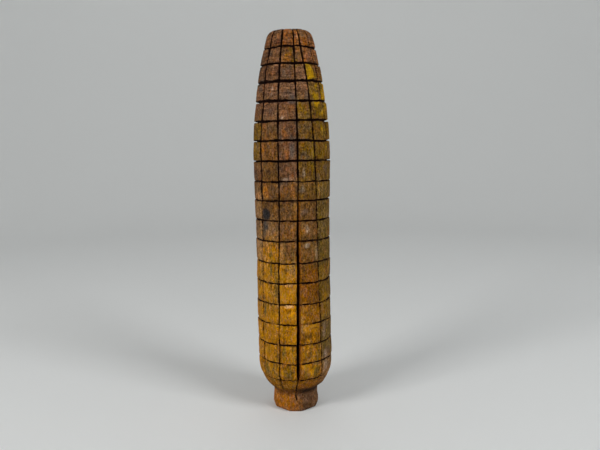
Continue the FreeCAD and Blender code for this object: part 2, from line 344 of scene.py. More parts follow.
# Old paint that still stands up as flakes: kernel -> (how much is left, which side it keeps to, from -1
# at the kernel's left to +1 at its right, and the same from bottom to top).
YELLOW_FLAKES = {
    ("b", 1): (-0.85, 0.9, -0.35),
    ("c", 1): (-1.15, -0.35, -0.45),
    ("c", 2): (-0.6, -0.7, 0.0),
    ("d", 2): (-0.08, -0.6, 0.1),
    ("d", 3): (-0.15, 0.15, 0.0),
    ("d", 4): (-0.2, 0.1, 0.2),
    ("d", 5): (-0.5, 0.1, 0.1),
    ("d", 6): (-0.4, 0.0, 0.1),
    ("d", 7): (-0.55, 0.4, 0.2),
    ("d", 8): (-0.8, 0.1, 0.2),
    ("c", 4): (-0.95, 0.5, -0.15),
    ("c", 5): (-0.75, 0.3, 0.2),
    ("c", 6): (-0.85, 0.8, 0.0),
    ("c", 7): (-0.8, 0.4, 0.3),
    ("c", 8): (-0.85, 0.2, 0.0),
    ("e", 2): (-0.5, 0.2, 0.0),
    ("e", 3): (0.1, -0.4, 0.0),
    ("e", 4): (-0.2, 0.1, 0.1),
    ("e", 5): (-0.3, 0.3, 0.1),
    ("h", 3): (-0.2, 0.2, 0.0),
    ("h", 4): (0.1, -0.3, 0.1),
    ("h", 5): (-0.2, 0.3, 0.0),
    ("i", 5): (0.0, 0.0, 0.2),
    ("i", 6): (0.1, 0.2, 0.0),
    ("i", 7): (-0.2, -0.4, 0.0),
    ("j", 2): (-0.2, 0.3, 0.0),
    ("j", 3): (0.0, 0.0, -0.2),
    ("k", 5): (-0.7, 0.0, 0.0),
    ("k", 6): (-0.7, 0.0, 0.0),
}
# Ochre paint: strip -> how much is left, the same on each of these rows.
OCHRE_STRIPS = {
    "k": 0.0,
    "a": 0.05,
    "b": 0.3,
    "c": -0.1,
    "d": -0.6,
    "e": -0.35,
    "f": -0.15,
    "h": -0.2,
    "i": 0.0,
    "j": -0.1,
}
OCHRE_ROWS = (12, 17)
# Kernels in those rows that have lost more of it.
OCHRE_BARE = {
    ("b", 12): 0.3,
    ("b", 15): 0.3,
    ("b", 16): 0.3,
    ("b", 17): 0.5,
    ("c", 12): 0.5,
    ("c", 13): 0.6,
    ("c", 14): 0.4,
    ("a", 17): 0.15,
}

# ---- noise

# Noise fields: wavelength in mm along x, y and z, seed, and number of octaves. The column kerfs' fields
# run along the kerf, so their second and third wavelengths only tell one kerf from the next.
NOISES = {
    "column_drift": ((23, 1, 1), 11, 1),
    "column_shake": ((4, 1, 1), 12, 1),
    "column_ragged": ((2.4, 1, 1), 21, 1),
    "column_swell": ((9, 1, 1), 22, 1),
    "ring_drift": ((16, 16, 7), 31, 1),
    "ring_shake": ((3.4, 3.4, 7), 32, 1),
    "ring_ragged": ((2.4, 2.4, 7), 33, 1),
    "ring_swell": ((9, 9, 7), 34, 1),
    "ring_filled": ((2.2, 2.2, 7), 35, 1),
    "lowest_ring": ((11, 11, 7), 36, 1),
    "splinters": ((2.4, 2.4, 2.4), 41, 2),
    "broken_corners": ((5, 5, 5), 45, 2),
    "grain_lines": ((1.5, 1.5, 16.0), 51, 2),
    "ridges": ((0.9, 0.9, 9.0), 54, 1),
    "dents": ((8, 8, 9), 57, 2),
    "lobes": ((24, 24, 60), 61, 1),
    "level_ridges": ((9, 9, 1.7), 63, 1),
    "hewn": ((4.5, 4.5, 4.0), 65, 2),
    "bleed": ((5, 5, 5), 71, 1),
    "blotch": ((6, 6, 7), 81, 3),
    "streak": ((1.7, 1.7, 9), 85, 2),
    "level_grain": ((8, 8, 1.6), 87, 1),
    "mottle": ((3.2, 3.2, 3.8), 88, 3),
    "speck": ((1.2, 1.2, 1.3), 89, 1),
    "dirt": ((1.7, 1.7, 15), 91, 2),
    "greyish": ((4, 4, 4.6), 95, 2),
    "rusty": ((3.4, 3.4, 4.6), 97, 2),
    "charred": ((1.8, 1.8, 2.0), 98, 2),
    "chipped": ((2.4, 2.4, 2.4), 99, 2),
    "grimy": ((5, 5, 5), 101, 2),
    "paint_patches": ((4.0, 4.0, 7.0), 111, 2),
    "yellow_streaks": ((2.4, 2.4, 5.0), 115, 2),
    "ochre_streaks": ((2.8, 2.8, 5.0), 115, 2),
    "paint_blotch": ((5, 5, 8), 121, 3),
    "worn_marks": ((1.5, 1.5, 2.2), 131, 1),
    "knife_marks": ((7, 7, 2.0), 135, 1),
}


def lattice_noise(points, wavelength, seed):
    """Smooth random values from -1 to 1 at each point, which repeat only far away."""
    size = 32
    table = np.random.default_rng(seed).uniform(-1, 1, (size, size, size))
    scaled = points / np.asarray(wavelength, dtype=float)
    low = np.floor(scaled).astype(int)
    part = scaled - low
    part = part * part * (3 - 2 * part)
    total = np.zeros(scaled.shape[:-1])
    for corner in range(8):
        step = np.array([corner & 1, corner >> 1 & 1, corner >> 2 & 1])
        weight = np.prod(np.where(step, part, 1 - part), axis=-1)
        x, y, z = np.moveaxis((low + step) % size, -1, 0)
        total += weight * table[x, y, z]
    return total


def noise(points, name):
    """A named noise field at each point, from about -1 to 1, with finer octaves if it has any."""
    wavelength, seed, octaves = NOISES[name]
    if octaves == 1:
        return lattice_noise(points, wavelength, seed)
    total = 0.0
    weight = 1.0
    for octave in range(octaves):
        total = total + weight * lattice_noise(points, np.asarray(wavelength) / 2**octave, seed + octave)
        weight *= 0.5
    return total / 1.4


def noises(points, **weights):
    """A weighted sum of named noise fields."""
    return sum(weight * noise(points, name) for name, weight in weights.items())


def smooth_step(low, high, value):
    """0 at low, 1 at high, and smooth between. It falls if low is the larger."""
    share = np.clip((value - low) / (high - low), 0, 1)
    return share * share * (3 - 2 * share)


# ---- the outline


def catmull_rom(points, count):
    """A smooth curve through points, with count steps between each two."""
    knots = np.array([2 * points[0] - points[1], *points, 2 * points[-1] - points[-2]])
    curve = []
    for before, start, end, after in zip(knots, knots[1:], knots[2:], knots[3:]):
        for share in np.arange(count) / count:
            bend = 2 * before - 5 * start + 4 * end - after
            turn = 3 * start - before - 3 * end + after
            curve.append(0.5 * (2 * start + (end - before) * share + bend * share**2 + turn * share**3))
    return np.array([*curve, points[-1]])


def body_radius(height):
    """The turned radius at a height between the neck and the crown, in mm."""
    shoulder_z, shoulder_r = SHOULDER_MM
    belly_z, belly_r = BELLY_MM
    reach = np.clip(shoulder_z - height, 0, SHOULDER_ARC_MM)
    shoulder = shoulder_r - SHOULDER_ARC_MM + np.sqrt(SHOULDER_ARC_MM**2 - reach**2)
    rise = np.clip(height - belly_z, 0, None)
    taper = belly_r - TAPER_ARC_MM + np.sqrt(TAPER_ARC_MM**2 - rise**2)
    up_the_waist = np.clip((height - shoulder_z) / (belly_z - shoulder_z), 0, 1)
    waist = shoulder_r - WAIST_DIP_MM * np.sin(np.pi * up_the_waist)
    return np.where(height < shoulder_z, shoulder, np.where(height > belly_z, taper, waist))


def outline():
    """The whole outline from the underside's centre to the tip's centre, as (radius, height) in mm, and
    the distance along it. Up to the crown the distance equals the height."""
    neck = [np.array([r, z]) for z, r in OUTLINE_MM]
    turned = np.arange(NECK_TOP_MM, CROWN_MM[0], OUTLINE_STEP_MM)
    body = [np.array([body_radius(z), z]) for z in turned]
    rising = np.array([*catmull_rom(np.array(neck), 8), *body])
    top = catmull_rom(np.array(TIP_MM), 10)
    base = np.array([[0.0, 0.0], [OUTLINE_MM[0][1] * 0.5, 0.0]])
    line = np.vstack([base, rising, top])
    along = np.empty(len(line))
    along[: len(base)] = base[:, 0] - OUTLINE_MM[0][1]
    along[len(base) : len(base) + len(rising)] = rising[:, 1]
    steps = np.linalg.norm(np.diff(top, axis=0), axis=1)
    along[len(base) + len(rising) :] = CROWN_MM[0] + np.concatenate([[0], np.cumsum(steps)])
    return line, along


OUTLINE, ALONG = outline()
NORMALS = np.gradient(OUTLINE, axis=0)
NORMALS = np.stack([NORMALS[:, 1], -NORMALS[:, 0]], axis=1)
NORMALS /= np.linalg.norm(NORMALS, axis=1, keepdims=True)


def outline_at(along):
    """Radius, height, and the outward normal's two parts at distances along the outline."""
    sides = (OUTLINE[:, 0], OUTLINE[:, 1], NORMALS[:, 0], NORMALS[:, 1])
    return [np.interp(along, ALONG, side) for side in sides]


# ---- the grid


def column_angle(letter, along):
    return np.interp(along, LEVELS_MM[::-1], COLUMNS[letter][0][::-1])


def column_width(letter, along):
    return np.interp(along, LEVELS_MM[::-1], COLUMNS[letter][1][::-1])


def around(angle, radius, along):
    """Points in mm on a turned surface."""
    turn = np.radians(angle)
    return np.stack(np.broadcast_arrays(radius * np.sin(turn), -radius * np.cos(turn), along), axis=-1)


def near_edges(grid, sharpness):
    """0 over most of a kernel, rising to 1 at its sawn edges."""
    return np.maximum(np.abs(grid.across) ** sharpness, np.abs(grid.up) ** sharpness)


class Kerf:
    """A column kerf. Its angle and width change along the ear, and it wanders as a hand-held saw does."""

    def __init__(self, letter, number):
        self.letter = letter
        self.number = number

    def angle(self, along):
        angle = column_angle(self.letter, along)
        if self.letter == "c":
            rows = np.array(NECK_CHECK_MM)
            angle = np.where(along < rows[-1, 0], np.interp(along, rows[:, 0], rows[:, 1]), angle)
        line = np.stack([along, np.full_like(along, 40.0 * self.number), np.zeros_like(along)], axis=-1)
        wander = noises(line, column_drift=0.30, column_shake=0.14)
        if self.letter == "c":
            wander = wander * 0.5
        return angle + np.degrees(wander / EAR_RADIUS_MM)

    def check(self, along):
        """Width and depth of the drying check at distances along the ear."""
        if self.letter != "c":
            return np.zeros_like(along), np.zeros_like(along)
        rows = np.array(CHECK_MM)
        neck = np.array(NECK_CHECK_MM)
        width = np.interp(along, rows[:, 0], rows[:, 1]) + np.interp(along, neck[:, 0], neck[:, 2])
        depth = np.interp(along, rows[:, 0], rows[:, 2]) + np.interp(along, neck[:, 0], neck[:, 3])
        return width, depth

    def width(self, along):
        """The sawn width, ragged along its length, or the check's where that is wider."""
        line = np.stack([along, np.full_like(along, 70.0 * self.number), np.ones_like(along)], axis=-1)
        ragged = noises(line, column_ragged=0.4, column_swell=0.25)
        sawn = column_width(self.letter, along) * np.clip(0.92 + ragged, 0.45, 1.8)
        return np.maximum(sawn, self.check(along)[0] * (1 + 0.2 * ragged))

    def depth(self, along):
        """How deep the saw went, which runs out on the shoulder and over the tip."""
        deep = 1.65 + 0.5 * smooth_step(110, 190, along)
        ends = LONG_COLUMN_ENDS_MM if self.letter == "b" else COLUMN_ENDS_MM
        return deep * smooth_step(*ends, along) * (1 - smooth_step(*TIP_ENDS_MM, along))


def around_ring(number, angle):
    """Points round a ring, for its noise. Each ring lies in its own part of the field."""
    return around(angle, EAR_RADIUS_MM, 60.0 * number)


def ring_height(number, angle):
    """A ring kerf's height at angles round the ear. Each kernel's stretch was sawn a little off level."""
    wander = noises(around_ring(number, angle), ring_drift=0.36, ring_shake=0.3)
    return RINGS_MM[number][0] + wander


def ring_width(number, angle):
    ragged = 1.1 + noises(around_ring(number, angle), ring_ragged=0.5, ring_swell=0.4)
    return RINGS_MM[number][1] * np.clip(ragged, 0.5, 1.9)


def ring_depth(number, angle):
    """How deep a ring kerf is. The lower ones are shallow and are filled with paint in places."""
    place = around_ring(number, angle)
    share = number / (len(RINGS_MM) - 1)
    if share == 1:
        return 0.9 * smooth_step(-0.5, 0.1, noise(place, "lowest_ring") + np.cos(np.radians(2 * angle)))
    deep = 2.2 - 0.6 * smooth_step(0.3, 0.7, share)
    filled = smooth_step(0.25, 0.5, noise(place, "ring_filled")) * smooth_step(0.2, 0.45, share)
    return deep * (1 - 0.8 * filled)


KERFS = [Kerf(letter, number) for number, letter in enumerate(COLUMNS)]


def column_lines():
    """The grid's upright lines, in order round the ear. Each is a dictionary of its kerf and place."""
    lines = []
    for kerf, following in zip(KERFS, KERFS[1:] + KERFS[:1]):
        for side, over, drop in KERF_SECTION:
            if side == 0 and kerf.letter == "c":
                walls = [dict(side=place, wall=share) for place, share in CHECK_WALLS]
                lines += [dict(kerf=kerf, over=0.0, drop=None, **wall) for wall in walls]
            else:
                lines.append(dict(kerf=kerf, side=side, over=over, drop=drop, wall=None))
        middle = np.array([150.0])
        span = (following.angle(middle) - kerf.angle(middle))[0] % 360
        spacing = GRID_FRONT_MM if kerf.letter in FRONT_STRIPS else GRID_BACK_MM
        count = round((math.radians(span) * EAR_RADIUS_MM - 2 * KERF_REACH_MM) / spacing) - 1
        for step in range(1, count + 1):
            lines.append(dict(kerf=kerf, following=following, share=step / (count + 1)))
    return lines


def row_lines():
    """The grid's level lines, from the middle of the underside to the middle of the tip."""
    rim = OUTLINE_MM[0][1]
    lines = [dict(at=-rim * share) for share in (1.0, 0.8, 0.5, 0.2, 0.05)]
    lowest = RINGS_MM[-1][0] - 1.2
    lines += [dict(at=float(at)) for at in np.linspace(0.0, lowest, round(lowest / GRID_UP_MM))]
    for number in reversed(range(len(RINGS_MM))):
        lines += [dict(ring=number, side=side, over=over, drop=drop) for side, over, drop in KERF_SECTION]
        if number:
            gap = RINGS_MM[number - 1][0] - RINGS_MM[number][0] - 2 * KERF_REACH_MM
            count = round(gap / GRID_UP_MM) - 1
            lines += [dict(ring=number, share=step / (count + 1)) for step in range(1, count + 1)]
    start = RINGS_MM[0][0] + 1.8
    end = ALONG[-1]
    rise = list(np.arange(start, CROWN_MM[0] + 7.5, GRID_UP_MM * 0.9))
    rise += list(np.linspace(rise[-1], end, 9)[1:])
    lines += [dict(at=float(at)) for at in rise]
    return lines


class Grid:
    """The ear's surface as a grid of rows by columns, with what each point is part of."""

    def __init__(self):
        self.columns = column_lines()
        self.rows = row_lines()
        self.rim = next(j for j, row in enumerate(self.rows) if row.get("at") == 0.0)
        shape = (len(self.rows), len(self.columns))
        nominal = np.array([self.nominal(row) for row in self.rows])
        rough = np.stack([self.angles(line, nominal) for line in self.columns], axis=1)
        self.along = np.stack([self.heights(row, rough[j]) for j, row in enumerate(self.rows)])
        lines = enumerate(self.columns)
        self.angle = np.stack([self.angles(line, self.along[:, i]) for i, line in lines], axis=1)
        self.radius, self.height, self.normal_r, self.normal_z = outline_at(self.along)
        self.base = around(self.angle, self.radius, self.height)
        self.strip = np.zeros(shape, dtype=int)
        self.row = np.zeros(shape, dtype=int)
        self.find_kernels()
        self.cut = np.maximum(self.column_cut(), self.ring_cut())

    @staticmethod
    def nominal(row):
        if "at" in row:
            return row["at"]
        if "side" in row:
            return RINGS_MM[row["ring"]][0] + row["side"] * (RINGS_MM[row["ring"]][1] / 2 + row["over"])
        low = RINGS_MM[row["ring"]][0] + KERF_REACH_MM
        high = RINGS_MM[row["ring"] - 1][0] - KERF_REACH_MM
        return low + (high - low) * row["share"]

    @staticmethod
    def edge(kerf, side, over, along):
        """The angle of a line beside a kerf. Close to its neighbour, a kerf's shoulders draw in."""
        radius = np.maximum(outline_at(along)[0], LEAST_RADIUS_MM)
        if over > 0:
            other = KERFS[(kerf.number + side) % len(KERFS)]
            gap = np.abs((other.angle(along) - kerf.angle(along) + 180) % 360 - 180)
            free = np.radians(gap) * radius - (other.width(along) + kerf.width(along)) / 2
            over = over * np.clip(free / 2.4, 0.15, 1)
        return kerf.angle(along) + np.degrees(side * (kerf.width(along) / 2 + over) / radius)

    def angles(self, line, along):
        kerf = line["kerf"]
        if "share" in line:
            outer = KERF_SECTION[-1][1]
            start = self.edge(kerf, 1, outer, along)
            end = self.edge(line["following"], -1, outer, along)
            return start + ((end - start) % 360) * line["share"]
        if line["wall"] is None:
            return self.edge(kerf, line["side"], line["over"], along)
        radius = np.maximum(outline_at(along)[0], LEAST_RADIUS_MM)
        floor = np.maximum(kerf.width(along) / 2 - 0.12, 0.05)
        return kerf.angle(along) + np.degrees(line["side"] * floor / radius)

    def heights(self, row, angle):
        if "at" in row:
            return np.full_like(angle, row["at"])
        number = row["ring"]
        if "side" in row:
            reach = row["side"] * (ring_width(number, angle) / 2 + row["over"])
            return ring_height(number, angle) + reach
        outer = KERF_SECTION[-1][1]
        low = ring_height(number, angle) + ring_width(number, angle) / 2 + outer
        high = ring_height(number - 1, angle) - ring_width(number - 1, angle) / 2 - outer
        return low + (high - low) * row["share"]

    def find_kernels(self):
        """Which kernel each point is on, and where: across from -1 to 1, and up from -1 to 1."""
        self.across = np.zeros(self.along.shape)
        self.up = np.zeros(self.along.shape)
        for i, line in enumerate(self.columns):
            left = line["kerf"]
            if line.get("side") == -1:
                left = KERFS[left.number - 1]
            right = KERFS[(left.number + 1) % len(KERFS)]
            self.strip[:, i] = left.number
            start = left.angle(self.along[:, i])
            span = (right.angle(self.along[:, i]) - start) % 360
            past = (self.angle[:, i] - start + 180) % 360 - 180
            self.across[:, i] = np.clip(2 * past / span - 1, -1, 1)
        for j, row in enumerate(self.rows):
            if "ring" in row:
                number = row["ring"] + 1 if row.get("side") == -1 else row["ring"]
            else:
                number = 0 if row["at"] > RINGS_MM[0][0] else len(RINGS_MM)
            self.row[j] = number
            top = ring_height(number - 1, self.angle[j]) if number else TOP_KERNELS_END_MM
            low = ring_height(number, self.angle[j]) if number < len(RINGS_MM) else SHOULDER_START_MM
            self.up[j] = np.clip(2 * (self.along[j] - low) / (top - low) - 1, -1, 1 if number else 0.7)
        self.foot = 1 - smooth_step(15.5, 18.5, self.along)

    def column_cut(self):
        cut = np.zeros(self.along.shape)
        for i, line in enumerate(self.columns):
            if "share" in line:
                continue
            along = self.along[:, i]
            deep = line["kerf"].depth(along)
            check_width, check_depth = line["kerf"].check(along)
            opened = smooth_step(*CHECK_OPENS_MM, check_width)
            if line["wall"] is not None:
                cut[:, i] = deep * (1 - opened) + check_depth * line["wall"] * opened
                cut[:, i] = np.maximum(cut[:, i], check_depth * line["wall"] * (deep < 0.3))
            elif line["drop"] is not None:
                cut[:, i] = line["drop"] * np.clip(deep, 0, 1)
            elif line["side"] > 0:
                cut[:, i] = deep * (1 - opened) + 0.5 * opened
            else:
                cut[:, i] = deep
        return cut

    def ring_cut(self):
        cut = np.zeros(self.along.shape)
        for j, row in enumerate(self.rows):
            if "side" not in row:
                continue
            deep = ring_depth(row["ring"], self.angle[j])
            cut[j] = deep if row["drop"] is None else row["drop"] * np.clip(deep, 0, 1)
        return cut


def chip_off(grid):
    """Splinters broken off along the sawn edges, deepest at a kernel's corners."""
    corner = (np.abs(grid.across) * np.abs(grid.up)) ** 6
    small = smooth_step(0.05, 0.7, noise(grid.base, "splinters")) * near_edges(grid, 10) * 0.75
    large = smooth_step(0.1, 0.6, noise(grid.base, "broken_corners")) * corner
    return (small + large) * (1 - grid.foot)


KERNEL_HEIGHT_MM = 0.13  # how much one kernel differs from the next in height
KERNEL_TILT_MM = 0.10
KERNEL_CROWN_MM = 0.10  # how far its edges fall below its middle
LEFT_STEP_MM = 0.6  # how much thinner the left side is above the fifth ring
RIGHT_BULGE_MM = 0.35
PROUD_MM = 0.35  # how far the kernels stand out from the turned outline, on average
LEVEL_RELIEF_MM = (190, 215)  # near the tip the wood is marked across the grain too
LEVEL_GRAIN_MM = (185, 215)


def kernel_relief(grid):
    """Each kernel's own height, tilt and crown, the left side's step at the fifth ring, and the right
    side's bulge."""
    random = np.random.default_rng(7)
    shape = (len(RINGS_MM) + 2, len(KERFS))
    offset = random.normal(0, KERNEL_HEIGHT_MM, shape)
    tilt_across = random.normal(0, KERNEL_TILT_MM, shape)
    tilt_up = random.normal(0, KERNEL_TILT_MM, shape)
    own = (grid.row, grid.strip)
    across, up = grid.across, grid.up
    relief = offset[own] + tilt_across[own] * across + tilt_up[own] * up
    relief += KERNEL_CROWN_MM * np.abs(across) ** 3 + KERNEL_CROWN_MM * np.abs(up) ** 3
    left = np.exp(-(((grid.angle + 80) / 38) ** 2))
    relief += LEFT_STEP_MM * left * smooth_step(193.5, 197.5, grid.along) * smooth_step(240, 215, grid.along)
    right = np.exp(-(((grid.angle - 85) / 40) ** 2))
    relief -= RIGHT_BULGE_MM * right
    return (relief - PROUD_MM) * (1 - smooth_step(250, 261, grid.along)) * (1 - grid.foot)


def grain_relief(grid):
    """Weathered grain along the ear, with tool marks and small dents."""
    base = grid.base
    ridges = 0.10 * noise(base, "grain_lines") + 0.05 * np.abs(noise(base, "ridges"))
    level = 0.05 * noise(base, "level_ridges") * smooth_step(*LEVEL_RELIEF_MM, grid.along)
    hewn = 0.28 * noise(base, "hewn") * grid.foot
    return ridges + 0.16 * noise(base, "dents") + 0.35 * noise(base, "lobes") + level + hewn


def whittled_foot(grid):
    """How much the knife took off the foot: facets round its lower edge, and shallow flats above."""
    taken = np.zeros(grid.along.shape)
    height = np.clip(grid.height, 0, None)
    for centre, reach, lean in FOOT_FACETS:
        turn = np.cos(np.radians(grid.angle - centre))
        limit = (reach + height * lean) / np.maximum(turn, 0.2)
        taken += np.where(turn > 0.5, np.clip(grid.radius - limit, 0, None), 0) ** 3
    return np.cbrt(taken) * (grid.along > -0.5) * smooth_step(14, 9, grid.height)


# ---- colour


def linear(rgb):
    """A colour from sRGB, 0 to 255, to the linear values that Blender works in."""
    share = np.asarray(rgb, dtype=float) / 255
    return np.where(share <= 0.04045, share / 12.92, ((share + 0.055) / 1.055) ** 2.4)


def blend(colours, other, share):
    share = np.asarray(share)[..., None]
    return colours * (1 - share) + linear(other) * share


def spot(grid, strip, row, across, up, size_across, size_up):
    """A soft round patch on one kernel, at a place across and up it, from 0 to 1."""
    here = (grid.strip == list(COLUMNS).index(strip)) & (grid.row == row)
    away = ((grid.across - across) / size_across) ** 2 + ((grid.up - up) / size_up) ** 2
    worn = 0.6 + 0.4 * smooth_step(-0.5, 0.2, noise(grid.base, "worn_marks"))
    return here * np.exp(-away * away) * worn


def kernel_tones(grid):
    """Each kernel's tone from the chart, which runs a little into the kernels above and below. The
    chart's last line is the foot."""
    names = list(COLUMNS)
    table = np.zeros((len(CHART), len(names), 3))
    for row, line in enumerate(CHART):
        for letter, tone in zip(CHART_STRIPS, line):
            table[row, names.index(letter)] = linear(TONES[tone])
    on_foot = grid.along < FOOT_TONE_MM
    row = np.where(on_foot, len(CHART) - 1, np.minimum(grid.row, len(CHART) - 2))
    own = table[row, grid.strip]
    beyond = np.clip(row + np.where(grid.up > 0, -1, 1), 0, len(CHART) - 2)
    beside = table[beyond, grid.strip]
    bleed = 0.5 * smooth_step(0.1, 1.0, np.abs(grid.up) + 0.5 * noise(grid.base, "bleed"))
    bleed = np.where(on_foot, 0.0, bleed)[..., None]
    return own * (1 - bleed) + beside * bleed


def stain(colours, left, edge, tone, strength):
    """Paint that has soaked in: a tone where the paint that is left is above an edge, soft over 0.3."""
    return blend(colours, tone, strength * smooth_step(edge, edge + 0.3, left))


NO_PAINT = -2.0


def ochre_kernels():
    """The kernels that still hold ochre paint, in the same form as the yellow ones."""
    first, last = OCHRE_ROWS
    rows = range(first, last + 1)
    kernels = [(strip, row) for strip in OCHRE_STRIPS for row in rows]
    return {one: (OCHRE_STRIPS[one[0]] - OCHRE_BARE.get(one, 0.0), 0.0, 0.0) for one in kernels}


def paint_left(grid, flakes, streaked):
    """How much paint is left, above 0 where a flake stands, from the kernels' own amounts and sides. It
    wears away in streaks along the grain, and first at the sawn edges."""
    names = list(COLUMNS)
    left = np.full(grid.along.shape, NO_PAINT)
    for (strip, row), (amount, side, rise) in flakes.items():
        here = (grid.strip == names.index(strip)) & (grid.row == row)
        left = np.where(here, amount + side * grid.across + rise * grid.up, left)
    patches = 0.55 * noise(grid.base, "paint_patches")
    streaks = 0.6 * noise(grid.base, streaked)
    painted = (left > NO_PAINT + 0.05) & (grid.cut < 0.12)
    return np.where(painted, left + patches + streaks - 0.6 * near_edges(grid, 10), NO_PAINT)


def flake_colours(grid, tone, dirtiest):
    """A paint's colour at every grid point, with blotches, and dirt along the grain."""
    dirt = dirtiest * smooth_step(0.1, 0.65, noise(grid.base, "dirt"))
    colours = linear(tone) * (1 + 0.3 * noise(grid.base, "paint_blotch"))[..., None]
    return blend(colours, PAINT_DIRT, dirt) * ALBEDO_GAIN


def weathering(grid, colours, upper):
    """Patches that have greyed, the upper rows' only, rusty ones, and charred specks."""
    greyish = smooth_step(0.2, 0.7, noise(grid.base, "greyish")) * upper
    colours = blend(colours, GREYED_WOOD, 0.5 * greyish)
    rusty = smooth_step(0.25, 0.7, noise(grid.base, "rusty"))
    colours = blend(colours, RUSTY_WOOD, 0.4 * rusty)
    charred = smooth_step(0.3, 0.8, noise(grid.base, "charred"))
    return blend(colours, CHARRED_WOOD, 0.55 * charred)


def paint_stains(grid, colours, yellow_left, ochre_left, lower):
    """Paint that has soaked in, and greenish dirt on the lower rows."""
    colours = stain(colours, yellow_left, -0.6, FAINT_YELLOW, 0.6)
    colours = stain(colours, yellow_left, -0.2, STRONG_YELLOW, 0.7)
    colours = stain(colours, ochre_left, -0.3, OCHRE_STAIN, 0.5)
    greenish = smooth_step(0.05, 0.6, noise(grid.base, "dirt")) * lower
    return blend(colours, GREENISH_DIRT, 0.55 * greenish * (1 - grid.foot))


def kernel_marks(grid, colours):
    for strip, row, across, up, wide, tall, tone, share in BLEMISHES:
        patch = share * spot(grid, strip, row, across, up, wide, tall)
        colours = blend(colours, tone, np.minimum(patch, 1.0))
    return colours


def worn_edges(grid, colours):
    """Pale wood where the sawn edges have chipped, then darker patches towards the kernels' edges."""
    chipped = smooth_step(0.15, 0.7, noise(grid.base, "chipped"))
    colours = blend(colours, CHIPPED_WOOD, 0.6 * chipped * near_edges(grid, 9) * (1 - grid.foot))
    # Darker in patches towards the kernels' edges.
    grimy = smooth_step(-0.1, 0.7, noise(grid.base, "grimy"))
    return blend(colours, KERNEL_EDGE_DARK, 0.5 * grimy * near_edges(grid, 5) * (1 - grid.foot))


def foot_colours(grid, colours, blotch, mottle, speck):
    """The foot, browner on the right, and a band of painted shade under the shoulder, darker on the right.
    """
    right = smooth_step(-14, 24, grid.angle + 24 * mottle) * smooth_step(160, 120, grid.angle)
    marks = noise(grid.base, "knife_marks")
    foot = linear(FOOT_LEFT) * (1 - right[..., None]) + linear(FOOT_RIGHT) * right[..., None]
    foot = foot * (1 + 0.45 * mottle + 0.3 * blotch + 0.2 * speck + 0.3 * marks)[..., None]
    bare = smooth_step(17.5, 15.0, grid.along + 1.2 * blotch)[..., None]
    colours = colours * (1 - bare) + foot * bare
    # Painted shade: a dark band under the shoulder's overhang, stronger on the right.
    shade_band = smooth_step(11.0, 14.5, grid.along) * smooth_step(20.0, 16.5, grid.along)
    shade_strength = np.clip(0.75 + 0.5 * blotch, 0, 1) * (0.6 + 0.4 * smooth_step(-20, 30, grid.angle))
    return blend(colours, SHOULDER_PAINTED_SHADE, np.minimum(1.1 * shade_band * shade_strength, 1.0))


def kerf_colours(grid, colours, speck, upper):
    """Painted shade down in the kerfs, darker with depth, and painted light on the check's right wall."""
    deep = smooth_step(0.18, 0.6, grid.cut + 0.12 * speck)
    # Painted shade in the kerfs: darker with depth, and blacker in the upper ones, which are deeper.
    colours = blend(colours, KERF_SHADE_BROWN, deep)
    colours = blend(colours, KERF_SHADE_DARK, 0.95 * deep * (0.45 + 0.55 * upper))
    # Painted light on the upper part of the check's right wall, where it opens towards the front.
    for i, line in enumerate(grid.columns):
        if line["kerf"].letter == "c" and line.get("side", 0) > -0.3 and "share" not in line:
            opened = smooth_step(0.6, 1.6, line["kerf"].check(grid.along[:, i])[0])
            lit = smooth_step(3.2, 1.7, grid.cut[:, i]) * (grid.cut[:, i] > 0.2)
            colours[:, i] = blend(colours[:, i], CHECK_WALL_PAINTED_LIGHT, opened * lit)
    return colours


FINE_NOISES = ("blotch", "mottle", "streak", "speck")


def wood_colours(grid, yellow_left, ochre_left):
    """The wood's colour at every grid point: tones, grain, stains, marks, wear, and dirt in the kerfs."""
    blotch, mottle, streak, speck = (noise(grid.base, name) for name in FINE_NOISES)
    level = noise(grid.base, "level_grain") * smooth_step(*LEVEL_GRAIN_MM, grid.along)
    grain = 0.22 * blotch + 0.36 * mottle + 0.2 * streak + 0.34 * speck + 0.22 * level
    upper = smooth_step(100, 140, grid.along)
    colours = kernel_tones(grid) * (1 + grain)[..., None]
    colours = weathering(grid, colours, upper)
    colours = paint_stains(grid, colours, yellow_left, ochre_left, 1 - upper)
    colours = kernel_marks(grid, colours)
    colours = worn_edges(grid, colours)
    colours = foot_colours(grid, colours, blotch, mottle, speck)
    colours = kerf_colours(grid, colours, speck, upper)
    return np.clip(colours, 0.0, 1.0) * ALBEDO_GAIN


# ---- meshes


def kerf_shade_reach(grid):
    """How much painted shade from the kerfs reaches each point, from 0 to 1. The lower kerfs get less."""
    shade_amount = np.zeros(grid.along.shape)
    for i, line in enumerate(grid.columns):
        if "share" in line:
            continue
        along = grid.along[:, i]
        shade_share = 1.0 if line["wall"] is not None else np.interp(line["over"], KERF_SHADE_AT_MM, KERF_SHADE_THERE)
        shade_share = shade_share * (0.46 + 0.46 * column_width(line["kerf"].letter, along))
        check_width, check_depth = line["kerf"].check(along)
        # The check's opened right wall gets painted light instead of painted shade.
        if line["side"] > 0.2:
            shade_share = shade_share * (1 - smooth_step(*CHECK_OPENS_MM, check_width))
        if line["kerf"].letter == "e":
            shade_share = shade_share * 0.6
        shade_amount[:, i] = shade_share * np.clip(np.maximum(line["kerf"].depth(along), 0.8 * check_depth), 0, 1)
    for j, row in enumerate(grid.rows):
        if "side" in row:
            shade_share = np.interp(row["over"], KERF_SHADE_AT_MM, KERF_SHADE_THERE)
            shade_amount[j] = np.maximum(shade_amount[j], shade_share * np.clip(ring_depth(row["ring"], grid.angle[j]), 0, 1))
    return np.clip(shade_amount, 0, 1) * (0.78 + 0.22 * smooth_step(100, 175, grid.along))


